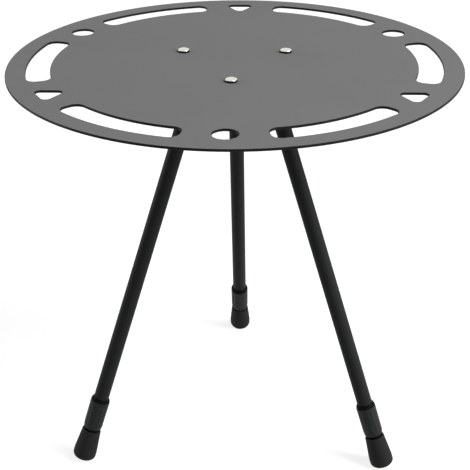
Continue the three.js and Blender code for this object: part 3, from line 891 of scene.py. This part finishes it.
def cut_by(mesh, cutters):
    """A mesh with closed cutters taken away."""
    body = linked("cut_body", mesh)
    helpers = []
    for cutter in cutters:
        helper = linked("cutter", cutter)
        modifier = body.modifiers.new("cut", "BOOLEAN")
        modifier.operation = "DIFFERENCE"
        modifier.solver = "EXACT"
        modifier.object = helper
        helpers.append(helper)
    made = evaluated_mesh(body)
    for helper in [body, *helpers]:
        bpy.data.objects.remove(helper)
    return creased(welded(made, CUT_GRAIN))


def drill(radius, bottom, top):
    """A rod for cutting, with its corners half a facet off the X axis."""
    mesh = turned([(0, bottom), (radius, bottom), (radius, top), (0, top)], DRILL_FACETS)
    mesh.transform(Matrix.Rotation(math.pi / DRILL_FACETS, 4, "Z"))
    return mesh


def block(low, high):
    """A closed box, for cutting."""
    corners = [(x, y, z) for x in (low[0], high[0]) for y in (low[1], high[1]) for z in (low[2], high[2])]
    faces = [(0, 1, 3, 2), (4, 6, 7, 5), (0, 4, 5, 1), (2, 3, 7, 6), (0, 2, 6, 4), (1, 5, 7, 3)]
    return mesh_of("block", corners, faces)


def cast_copy(node, voxel, place):
    """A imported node's shape as a casting, with soft corners, in the coordinates of a piece."""
    mesh = welded(frame["nodes"][node].data.copy(), SAME_POINT)
    mesh.transform(place.inverted())
    mesh.materials.clear()
    helper = linked("casting", mesh)
    remesh = helper.modifiers.new("skin", "REMESH")
    remesh.mode = "VOXEL"
    remesh.voxel_size = voxel
    smooth = helper.modifiers.new("ease", "SMOOTH")
    smooth.factor = CASTING_SOFTNESS
    smooth.iterations = CASTING_SMOOTHING
    cast = evaluated_mesh(helper)
    bpy.data.objects.remove(helper)
    cast.shade_smooth()
    return with_own_place(cast)


def coated(mesh, look):
    """Gives a mesh one finish of its own."""
    mesh.materials.clear()
    mesh.materials.append(materials[look])
    return mesh


def add_piece(name, mesh, body, slot, nodes, place=None):
    """Names a finished mesh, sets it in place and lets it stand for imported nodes. A mesh without a finish
    of its own takes its slot's."""
    if not any(mesh.materials):
        coated(mesh, slot)
    mesh.transform(place or Matrix.Identity(4))
    mesh.name = name
    obj = linked(name, mesh)
    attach(obj, body)
    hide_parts(*nodes)


# Plate

plate_low, plate_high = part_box("table_top")
plate_sizes = {
    **PLATE_SIZES,
    "Plate Radius": plate_high.x,
    "Thickness": plate_high.z - plate_low.z,
    "Top Height": plate_high.z,
    "First Leg Angle": math.radians(LEG_SIDES["back"]),
    "Face Material": materials["grey_aluminium"],
    "Edge Material": materials["shade_painted_edge"],
}
plate = with_own_place(grown(mesh_of("plate", [], []), plate_tree(plate_sizes), plate_sizes))
add_piece("slotted_plate", plate, "table", "grey_aluminium", ["table_top"])

# Fasteners

fasteners = ring_tree()
threads = thread_tree()


def head_dome(radius, height, shares):
    """The profile of a bolt's head, from the rim of its seat up to the edge of its flat crown. The shares
    are the crown's in the radius and the upright band's in the height."""
    flat = shares[0] * radius
    band = shares[1] * height
    ease = EASE_SHARE * radius
    rows = [(radius - ease, 0), (radius, ease)]
    for turn in quarter_turn(DOME_STEPS):
        rows.append((flat + (radius - flat) * math.cos(turn), band + (height - band) * math.sin(turn)))
    return rows


def bolt(length, upper, look):
    """A bolt from its threaded tip up to its head's seat at height zero, and on along the given profile."""
    tip = -length + BOLT_RADIUS * TIP_LENGTH_SHARE
    thread_top = -length * THREAD_FREE_SHARE
    step = BOLT_PITCH / THREAD_ROWS_PER_PITCH
    thread_rows = [(BOLT_RADIUS, tip + step * i) for i in range(1, int((thread_top - tip) / step))]
    start = [(0, -length), (BOLT_RADIUS * TIP_RADIUS_SHARE, -length), (BOLT_RADIUS, tip)]
    mesh = turned([*start, *thread_rows, *upper], SMALL_FACETS)
    values = {
        "Bottom": tip,
        "Top": thread_top,
        "Pitch": BOLT_PITCH,
        "Depth": BOLT_PITCH * THREAD_DEPTH_SHARE,
        "Least Radius": BOLT_RADIUS * THREAD_ROOT_SHARE,
        "Material": materials[look],
    }
    return creased(grown(mesh, threads, values))


def socket_bolt(length, head_radius, head_height, socket_width, socket_depth):
    """A button head bolt with a hexagonal socket."""
    hexagon = hexagon_radius(socket_width)
    ease = EASE_SHARE * head_radius
    floor = head_height - socket_depth
    upper = [
        (BOLT_RADIUS, -ease * 2),
        (BOLT_RADIUS + ease, 0),
        *head_dome(head_radius, head_height, HINGE_HEAD_SHARES),
        (lambda angle: hexagon(angle) + ease, head_height),
        (hexagon, head_height - ease),
        (hexagon, floor),
        (0, floor - BOLT_RADIUS * SOCKET_FLOOR_SHARE),
    ]
    return bolt(length, upper, "bright_steel")


def square_neck_bolt(length, head_radius, head_height):
    """A bolt with a plain round head over a square neck."""
    square = polygon_radius(NECK_WIDTH, 4, 0)
    upper = [
        (BOLT_RADIUS, -NECK_HEIGHT),
        (square, -NECK_HEIGHT),
        (square, 0),
        *head_dome(head_radius, head_height, TOP_HEAD_SHARES),
        (0, head_height),
    ]
    # The head's lower flank takes a painted reflection and shade
    return bolt(length, upper, "steel_with_painted_flank_shade")


def lock_nut(width, height):
    """A nut with chamfered corners, from height zero up, and a round crown over its insert."""
    hexagon = hexagon_radius(width)
    corner = width / math.sqrt(3)
    face = width / 2 * NUT_FACE_SHARE
    chamfer = (corner - width / 2) * NUT_CHAMFER_SHARE
    hex_top = height * NUT_HEX_SHARE
    crown = width * NUT_CROWN_SHARE
    shoulder = height * NUT_SHOULDER_SHARE
    bevel = height * NUT_BEVEL_SHARE
    bore = BOLT_RADIUS + NUT_CLEARANCE

    def hex_row(cone):
        return lambda angle: min(hexagon(angle), cone)

    rows = []
    for step in range(CHAMFER_STEPS + 1):
        share = step / CHAMFER_STEPS
        rows.append((hex_row(face + (corner - face) * share), chamfer * share))
    upper = [(radius, hex_top - up) for radius, up in reversed(rows)]
    profile = [
        *rows,
        *upper,
        (crown, hex_top),
        (crown, shoulder),
        (crown - (height - shoulder), height),
        (bore + bevel, height),
        (bore, height - bevel),
        (bore, bevel),
        (bore + bevel, 0),
    ]
    return turned(profile, SMALL_FACETS)


def plain_washer(radius, thickness):
    profile = sleeve_profile(BOLT_RADIUS + WASHER_CLEARANCE, [(radius, 0), (radius, thickness)])
    return turned(eased(profile, thickness * WASHER_EASE_SHARE, SMALL_CORNER_STEPS), SMALL_FACETS)


def in_a_ring(mesh, sides, look, circle, turning):
    """One mesh with a copy of a fastener at each of the sides, which stand a third of a turn apart."""
    values = {
        "Count": len(sides),
        "First Angle": math.radians(min(sides.values())),
        "Step": 2 * math.pi / len(sides),
        "Circle": circle,
        "Turning": turning,
        "Material": materials[look],
    }
    return grown(mesh, fasteners, values)


def height_and_radius(node):
    """The lowest and highest place of a node that stands upright, and half its width on X."""
    low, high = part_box(node)
    return low.z, high.z, (high.x - low.x) / 2


def table_fasteners():
    """Bolts, washers and nuts that hold the plate, all on one circle."""
    low, high, radius = height_and_radius("front_top_bolt")
    head_bolt = square_neck_bolt(plate_high.z - low, radius, high - plate_high.z)
    head_bolt.transform(Matrix.Translation((0, 0, plate_high.z)))
    low, high, radius = height_and_radius("front_top_washer")
    washer = plain_washer(radius, high - low)
    washer.transform(Matrix.Translation((0, 0, low)))
    low, high, corner = height_and_radius("front_top_nut")
    nut = lock_nut(corner * math.sqrt(3), high - low)
    nut.transform(Matrix.Translation((0, 0, high)) @ Matrix.Rotation(math.pi, 4, "X"))
    parts = [
        ("bolt", head_bolt, "steel_with_painted_flank_shade"),
        ("washer", washer, "bright_steel"),
        ("nut", nut, "bright_steel"),
    ]
    for kind, mesh, look in parts:
        nodes = [f"{side}_top_{kind}" for side in BOLT_SIDES]
        ring = in_a_ring(mesh, BOLT_SIDES, look, circle=PLATE_SIZES["Bolt Circle"], turning=0.0)
        add_piece(f"top_{kind}s", ring, "table", "bright_steel", nodes)


table_fasteners()

# Hub

hub = cast_copy("leg_hub", HUB_VOXEL, Matrix.Identity(4))
add_piece("cast_hub", hub, "table", "black_casting", ["leg_hub"])


# Legs


def leg_frame(side):
    """The leaning frame of a leg: Z runs up its axis from the foot's end, X points outwards."""
    pivot = Vector(joints[f"{side}_leg_fold"]["pos_m"])
    tangent = Vector(joints[f"{side}_leg_fold"]["axis"])
    up = -Vector(joints[f"{side}_lock_twist"]["axis"])
    out = tangent.cross(up)
    foot = frame["nodes"][f"{side}_rubber_foot"].data.vertices
    lowest = min((vertex.co - pivot).dot(up) for vertex in foot)
    turn = Matrix((out, tangent, up)).transposed().to_4x4()
    return Matrix.Translation(pivot + up * lowest) @ turn


legs = {side: leg_frame(side) for side in LEG_SIDES}


def reach(node):
    """Lowest and highest place on the leg's axis and the greatest radius of a node of the back leg."""
    back = legs["back"].inverted()
    places = [back @ vertex.co for vertex in frame["nodes"][f"back_{node}"].data.vertices]
    heights = [place.z for place in places]
    return min(heights), max(heights), max(math.hypot(place.x, place.y) for place in places)


def on_each_leg(name, mesh, part, slot, node):
    """A copy of a leg's piece on every leg."""
    for side, place in legs.items():
        add_piece(f"{side}_{name}", mesh.copy(), f"{side}_{part}", slot, [f"{side}_{node}"], place)


def across_hinge(node):
    """Where a node of the back hinge starts and ends along the bolt's axis, and its greatest radius."""
    low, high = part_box(f"back_hinge_{node}")
    return -high.x, -low.x, (high.z - low.z) / 2


def hinge_fasteners():
    """The bolts that the legs turn on, their nuts and the washers beside the leg heads."""
    pivot = Vector(joints["back_leg_fold"]["pos_m"])
    head_end, tip, head_radius = across_hinge("bolt")
    seat = head_end + HINGE_HEAD_HEIGHT
    head = (head_radius, HINGE_HEAD_HEIGHT, HINGE_SOCKET_WIDTH, HINGE_SOCKET_DEPTH)
    hinge_bolt = socket_bolt(tip - seat, *head)
    hinge_bolt.transform(Matrix.Translation((0, seat, pivot.z)) @ Matrix.Rotation(math.pi / 2, 4, "X"))
    start, end, corner = across_hinge("nut")
    nut = lock_nut(corner * math.sqrt(3), end - start)
    nut.transform(Matrix.Translation((0, start, pivot.z)) @ Matrix.Rotation(-math.pi / 2, 4, "X"))
    parts = [("hinge_bolt", hinge_bolt, "bright_steel"), ("hinge_nut", nut, "bright_steel")]
    for end_name in ("head", "nut"):
        start, end, radius = across_hinge(f"washer_{end_name}_side")
        washer = plain_washer(radius, end - start)
        washer.transform(Matrix.Translation((0, start, pivot.z)) @ Matrix.Rotation(-math.pi / 2, 4, "X"))
        parts.append((f"hinge_washer_{end_name}_side", washer, "black_nylon"))
    for node, mesh, slot in parts:
        ring = in_a_ring(mesh, LEG_SIDES, slot, circle=pivot.y, turning=1.0)
        add_piece(f"{node}s", ring, "table", slot, [f"{side}_{node}" for side in LEG_SIDES])


def leg_head():
    mesh = cast_copy("back_leg_head", HEAD_VOXEL, legs["back"])
    on_each_leg("cast_leg_head", mesh, "leg", "black_casting", "leg_head")


def across_leg(height):
    """Lays a turned piece across the leg at a height, along the hinge's axis."""
    return Matrix.Translation((0, 0, height)) @ Matrix.Rotation(math.pi / 2, 4, "X")


def plain_tube(node, wall):
    """A tube with softened ends, along the leg."""
    bottom, top, radius = reach(node)
    profile = sleeve_profile(radius - wall, [(radius, bottom), (radius, top)])
    return turned(eased(profile, TUBE_EDGE, SMALL_CORNER_STEPS), FINE_FACETS)


def outer_tube():
    tube = plain_tube("outer_tube", OUTER_TUBE_WALL)
    radius = reach("outer_tube")[2]
    rivet_low, rivet_high = reach("head_rivet")[:2]
    cutter = drill(RIVET_HOLE_RADIUS, -2 * radius, 2 * radius)
    cutter.transform(across_leg((rivet_low + rivet_high) / 2))
    on_each_leg("drilled_outer_tube", cut_by(tube, [cutter]), "leg", "black_aluminium", "outer_tube")


def head_rivet():
    low, high, length = reach("head_rivet")
    head_radius = (high - low) / 2
    seat = reach("outer_tube")[2] + RIVET_SEAT
    half = [(head_radius / 2, seat)]
    for turn in quarter_turn(RIVET_STEPS)[:-1]:
        half.append((head_radius * math.cos(turn), seat + (length - seat) * math.sin(turn)))
    half.append((0, length))
    other = [(radius, -height) for radius, height in reversed(half)]
    mesh = turned([*other, *half], SMALL_FACETS)
    mesh.transform(across_leg((low + high) / 2))
    on_each_leg("domed_head_rivet", mesh, "leg", "bright_steel", "head_rivet")


def lock_ferrule():
    bottom, top, radius = reach("lock_ferrule")
    bore = reach("outer_tube")[2] + FERRULE_CLEARANCE
    outside = [
        (bore + FERRULE_SLEEVE, bottom),
        (bore + FERRULE_SLEEVE, top - FERRULE_FLANGE),
        (radius, top - FERRULE_FLANGE),
        (radius, top - FERRULE_CONE),
        (bore + FERRULE_LIP, top),
    ]
    mesh = turned(eased(sleeve_profile(bore, outside), FERRULE_EDGE), FINE_FACETS)
    # The ferrule is painted nearly black: painted shade of the recess where the tube enters the collar
    coated(mesh, "nylon_painted_shade")
    on_each_leg("moulded_lock_ferrule", mesh, "leg", "black_nylon", "lock_ferrule")


def lock_collet():
    bottom, top, radius = reach("lock_collet")
    bore = reach("inner_tube")[2] + COLLET_CLEARANCE
    outside = [(radius - COLLET_TAPER, bottom), (radius, bottom + COLLET_NOSE), (radius, top)]
    profile = eased(sleeve_profile(bore, outside), COLLET_EDGE, SMALL_CORNER_STEPS)
    ring = turned(profile, FINE_FACETS)
    half = COLLET_SLIT_WIDTH / 2
    slits = []
    for i in range(COLLET_SLITS):
        slit = block((0, -half, bottom - half), (2 * radius, half, COLLET_SLIT_TOP))
        slit.transform(Matrix.Rotation(2 * math.pi * i / COLLET_SLITS, 4, "Z"))
        slits.append(slit)
    on_each_leg("split_lock_collet", cut_by(ring, slits), "leg", "pale_nylon", "lock_collet")


def lock_collar():
    bottom, top, radius = reach("lock_collar")
    rows = np.linspace(GRIP_BOTTOM, top, GRIP_ROWS)
    radii = np.linspace(COLLAR_GRIP_RADIUS, radius, GRIP_ROWS)
    outside = [(COLLAR_BOTTOM_RADIUS, bottom), *zip(radii.tolist(), rows.tolist())]
    inside = [
        (COLLAR_BORE, top),
        (COLLAR_BORE, COLLAR_SEAT_TOP),
        (COLLAR_THROAT + COLLAR_THROAT_EASE, COLLAR_SEAT_BOTTOM),
        (COLLAR_THROAT, COLLAR_SEAT_BOTTOM - COLLAR_THROAT_EASE),
        (COLLAR_THROAT, bottom),
    ]
    mesh = turned(eased([*outside, *inside], COLLAR_EDGE), GRIP_RIBS * FACETS_PER_RIB)
    values = {
        "Count": GRIP_RIBS,
        "Depth": GRIP_DEPTH,
        "Bottom": GRIP_BOTTOM,
        "Top": GRIP_TOP,
        "Fade": GRIP_FADE,
        "Least Radius": (COLLAR_BORE + COLLAR_GRIP_RADIUS) / 2,
        "Material": materials["black_nylon"],
    }
    collar = creased(grown(mesh, ribs_tree(), values))
    on_each_leg("fluted_lock_collar", collar, "lock", "black_nylon", "lock_collar")


def inner_tube():
    # The inner tube is painted darker: painted shade of the gap between collar and foot
    tube = coated(plain_tube("inner_tube", INNER_TUBE_WALL), "tube_painted_shade")
    on_each_leg("drawn_inner_tube", tube, "extension", "black_aluminium", "inner_tube")


def tube_plug(node, flange, hangs):
    """A plug with a flange, and a spigot that hangs below the flange or stands on it."""
    bottom, top, radius = reach(node)
    spigot = reach("inner_tube")[2] - INNER_TUBE_WALL - PLUG_CLEARANCE
    if hangs:
        lower, upper, step = spigot, radius, top - flange
    else:
        lower, upper, step = radius, spigot, bottom + flange
    outside = [(0, bottom), (lower, bottom), (lower, step), (upper, step), (upper, top), (0, top)]
    mesh = turned(eased(outside, PLUG_EDGE, SMALL_CORNER_STEPS), FINE_FACETS)
    on_each_leg(f"moulded_{node}", mesh, "extension", "black_nylon", node)


def rubber_foot():
    bottom, top, radius = reach("rubber_foot")
    dimple, rim = [FOOT_TIP_RADIUS * share for share in FOOT_DIMPLE_SHARES]
    belly = []
    for turn in quarter_turn(DOME_STEPS):
        out = FOOT_TIP_RADIUS + (radius - FOOT_TIP_RADIUS) * math.sin(turn)
        belly.append((out, FOOT_BELLY_BOTTOM * (1 - math.cos(turn))))
    outside = [
        (0, FOOT_DIMPLE),
        (dimple, FOOT_DIMPLE),
        (rim, 0),
        *belly,
        (radius, FOOT_BELLY_TOP),
        (FOOT_TOP_RADIUS, top - FOOT_SHOULDER),
        (FOOT_TOP_RADIUS - FOOT_LIP / 2, top),
        (FOOT_CUP, top - FOOT_DISH),
        (FOOT_CUP, FOOT_FLOOR),
        (0, FOOT_FLOOR),
    ]
    mesh = turned(eased(outside, FOOT_EDGE), FINE_FACETS)
    on_each_leg("moulded_rubber_foot", mesh, "extension", "black_rubber", "rubber_foot")


hinge_fasteners()
leg_head()
outer_tube()
head_rivet()
lock_ferrule()
lock_collet()
lock_collar()
inner_tube()
tube_plug("guide_plug", GUIDE_FLANGE, hangs=True)
tube_plug("foot_plug", FOOT_PLUG_FLANGE, hangs=False)
rubber_foot()

# Floor, light and camera


def set_stage():
    corner = FLOOR_SIZE / 2
    corners = [(-corner, -corner, 0), (corner, -corner, 0), (corner, corner, 0), (-corner, corner, 0)]
    floor = linked("floor", mesh_of("floor", corners, [(0, 1, 2, 3)]))
    made = bpy.data.materials.new("pale_floor")
    tree = emptied(made)
    diffuse = tree.add("ShaderNodeBsdfDiffuse", None, {"Color": FLOOR_COLOUR})
    glow = tree.add("ShaderNodeEmission", None, {"Strength": seen_directly(tree) * FLOOR_GLOW})
    both = tree.add("ShaderNodeAddShader", None, {0: diffuse, 1: glow})
    tree.show("ShaderNodeOutputMaterial", both)
    floor.data.materials.append(made)


def seen_directly(tree):
    """One for rays that show the background: from the camera, in gloss or through glass."""
    kinds = ("Is Camera Ray", "Is Glossy Ray", "Is Transmission Ray")
    camera, glossy, passing = [tree.add("ShaderNodeLightPath", output=kind) for kind in kinds]
    return tree.math("MAXIMUM", tree.math("MAXIMUM", camera, glossy), passing)


def set_world():
    world = bpy.data.worlds.new("studio")
    tree = emptied(world)
    strength = AMBIENT + seen_directly(tree) * (BACKGROUND - AMBIENT)
    background = tree.add("ShaderNodeBackground", None, {"Color": (1, 1, 1, 1), "Strength": strength})
    tree.show("ShaderNodeOutputWorld", background)
    scene.world = world


def set_lamp(name, place, size, power):
    data = bpy.data.lights.new(name, "AREA")
    data.shape = "SQUARE"
    data.size = size
    data.energy = power
    lamp = linked(name, data)
    direction = Vector(LAMP_TARGET) - Vector(place)
    lamp.matrix_world = Matrix.Translation(place) @ direction.to_track_quat("-Z", "Y").to_matrix().to_4x4()


def set_camera():
    data = bpy.data.cameras.new("camera")
    data.sensor_width = CAMERA_SENSOR_MM
    data.lens = PHOTO_FOCAL_LENGTH / PHOTO_SIZE * data.sensor_width
    data.shift_x = 0.5 - PHOTO_CENTRE[0] / PHOTO_SIZE
    data.shift_y = PHOTO_CENTRE[1] / PHOTO_SIZE - 0.5
    camera = linked("camera", data)
    turn = math.radians(CAMERA_TURN)
    place = Matrix.Rotation(turn, 4, "Z") @ Vector((0, -CAMERA_DISTANCE, plate_high.z + CAMERA_ABOVE_TOP))
    heading = Matrix.Rotation(turn + math.radians(CAMERA_YAW), 4, "Z")
    tilt = Matrix.Rotation(math.pi / 2 - math.radians(CAMERA_PITCH), 4, "X")
    roll = Matrix.Rotation(math.radians(CAMERA_ROLL), 4, "Z")
    camera.matrix_world = Matrix.Translation(place) @ heading @ tilt @ roll
    scene.camera = camera


set_stage()
set_world()
for lamp_name, (lamp_place, lamp_size, lamp_power) in LAMPS.items():
    set_lamp(lamp_name, lamp_place, lamp_size, lamp_power)
set_camera()
scene.view_settings.view_transform = "Standard"
